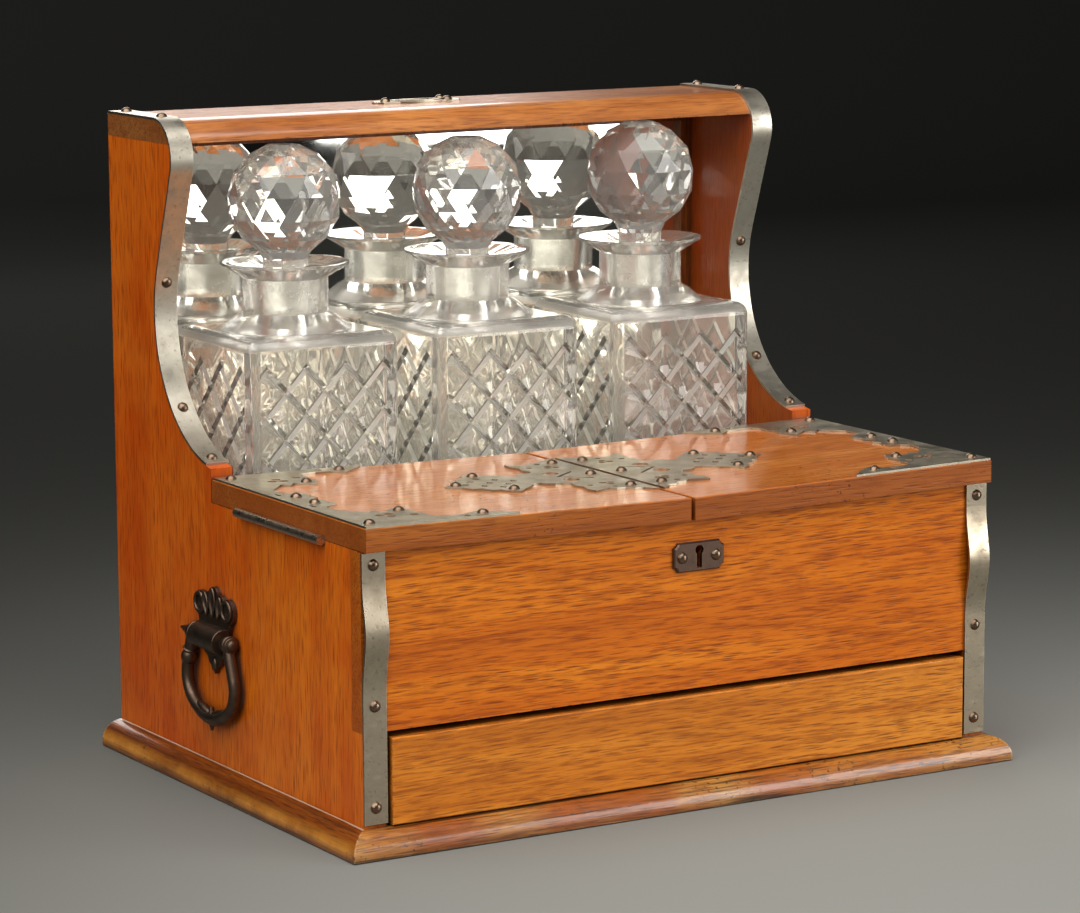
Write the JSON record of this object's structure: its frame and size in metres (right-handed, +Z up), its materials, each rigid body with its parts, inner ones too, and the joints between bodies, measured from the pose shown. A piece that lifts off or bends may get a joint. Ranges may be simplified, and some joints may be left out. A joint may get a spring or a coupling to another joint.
{
  "type": "tantalus",
  "caption": "Lockable wooden drinks case with square cut-glass decanters before a mirror, metal-mounted lids that swing open at the ends, a low drawer and bail handles.",
  "frame": {"origin": "middle of the footprint of the plinth, on the surface that the case stands on", "axes": "+X to the right as seen from the front, +Y from the front to the back, +Z up"},
  "size_m": [0.3826, 0.2786, 0.3339],
  "materials": {
    "case_wood": "French-polished orange-brown wood",
    "plinth_wood": "polished wood, worn pale at the edges",
    "lid_wood": "polished wood",
    "drawer_wood": "polished wood",
    "lining_wood": "plain waxed wood",
    "mirror": "silvered glass",
    "plated_metal": "tarnished plate",
    "brass": "dull brass",
    "steel": "dull steel",
    "bronze": "dark bronzed",
    "cut_glass": "cut and polished clear glass"
  },
  "bodies": {
    "case": {"back_board": "lining_wood", "base_board": "case_wood", "case_screws": "steel", "case_studs": "plated_metal", "decanter_floor": "case_wood", "escutcheon": "plated_metal", "front_board": "case_wood", "handle_screws": "bronze", "left_corner_strap": "plated_metal", "left_handle_plate": "bronze", "left_hinge_fixed_leaf": "brass", "left_hinge_pin": "steel", "left_partition": "case_wood", "left_plinth_rail": "plinth_wood", "left_side": "case_wood", "left_upper_strap": "plated_metal", "lock_case": "steel", "mirror_glass": "mirror", "mirror_slips": "case_wood", "plinth_front": "plinth_wood", "right_corner_strap": "plated_metal", "right_handle_plate": "bronze", "right_hinge_fixed_leaf": "brass", "right_hinge_pin": "steel", "right_partition": "case_wood", "right_plinth_rail": "plinth_wood", "right_side": "case_wood", "right_upper_strap": "plated_metal", "top_board": "case_wood", "top_cartouche": "plated_metal"},
    "left_lid": {"left_lid": "lid_wood", "left_lid_mount": "plated_metal", "left_centre_mount": "plated_metal", "left_lid_studs": "plated_metal", "left_hinge_lid_leaf": "brass", "left_lid_screws": "steel", "left_lid_link": "brass"},
    "right_lid": {"right_lid": "lid_wood", "right_lid_mount": "plated_metal", "right_centre_mount": "plated_metal", "right_lid_studs": "plated_metal", "right_hinge_lid_leaf": "brass", "right_lid_screws": "steel", "right_lid_link": "brass"},
    "drawer": {"drawer_front": "drawer_wood", "left_drawer_side": "lining_wood", "right_drawer_side": "lining_wood", "drawer_back_board": "lining_wood", "drawer_bottom_panel": "lining_wood"},
    "left_bail": {"left_bail": "bronze"},
    "right_bail": {"right_bail": "bronze"},
    "lock_bolt": {"lock_bolt": "brass"},
    "drawer_peg": {"drawer_peg": "brass"},
    "left_decanter": {"left_decanter": "cut_glass"},
    "middle_decanter": {"middle_decanter": "cut_glass"},
    "right_decanter": {"right_decanter": "cut_glass"},
    "left_stopper": {"left_stopper": "cut_glass"},
    "middle_stopper": {"middle_stopper": "cut_glass"},
    "right_stopper": {"right_stopper": "cut_glass"}
  },
  "joints": [
    {"name": "left_lid_hinge", "type": "hinge", "parent": "case", "child": "left_lid", "pos_m": [-0.1824, -0.04945, 0.1452], "axis": [0, -1, 0], "range_deg": [0, 200]},
    {"name": "right_lid_hinge", "type": "hinge", "parent": "case", "child": "right_lid", "pos_m": [0.1824, -0.04945, 0.1452], "axis": [0, 1, 0], "range_deg": [0, 200]},
    {"name": "drawer_slide", "type": "slide", "parent": "case", "child": "drawer", "axis": [0, -1, 0], "range_m": [0, 0.19]},
    {"name": "left_bail_swing", "type": "hinge", "parent": "case", "child": "left_bail", "pos_m": [-0.1846, 0.02195, 0.078], "axis": [0, 1, 0], "range_deg": [0, 110]},
    {"name": "right_bail_swing", "type": "hinge", "parent": "case", "child": "right_bail", "pos_m": [0.1846, 0.02195, 0.078], "axis": [0, -1, 0], "range_deg": [0, 110]},
    {"name": "lock_bolt_slide", "type": "slide", "parent": "case", "child": "lock_bolt", "axis": [1, 0, 0], "range_m": [0, 0.005]},
    {"name": "drawer_peg_slide", "type": "slide", "parent": "case", "child": "drawer_peg", "axis": [0, 0, 1], "range_m": [-0.009, 0]},
    {"name": "left_decanter_slide", "type": "slide", "parent": "case", "child": "left_decanter", "axis": [0, -1, 0], "range_m": [0, 0.013]},
    {"name": "left_stopper_turn", "type": "hinge", "parent": "left_decanter", "child": "left_stopper", "pos_m": [-0.1075, 0.08495, 0.28], "axis": [0, 0, 1], "continuous": true},
    {"name": "middle_decanter_slide", "type": "slide", "parent": "case", "child": "middle_decanter", "axis": [0, -1, 0], "range_m": [0, 0.013]},
    {"name": "middle_stopper_turn", "type": "hinge", "parent": "middle_decanter", "child": "middle_stopper", "pos_m": [0, 0.08495, 0.28], "axis": [0, 0, 1], "continuous": true},
    {"name": "right_decanter_slide", "type": "slide", "parent": "case", "child": "right_decanter", "axis": [0, -1, 0], "range_m": [0, 0.013]},
    {"name": "right_stopper_turn", "type": "hinge", "parent": "right_decanter", "child": "right_stopper", "pos_m": [0.1075, 0.08495, 0.28], "axis": [0, 0, 1], "continuous": true}
  ]
}
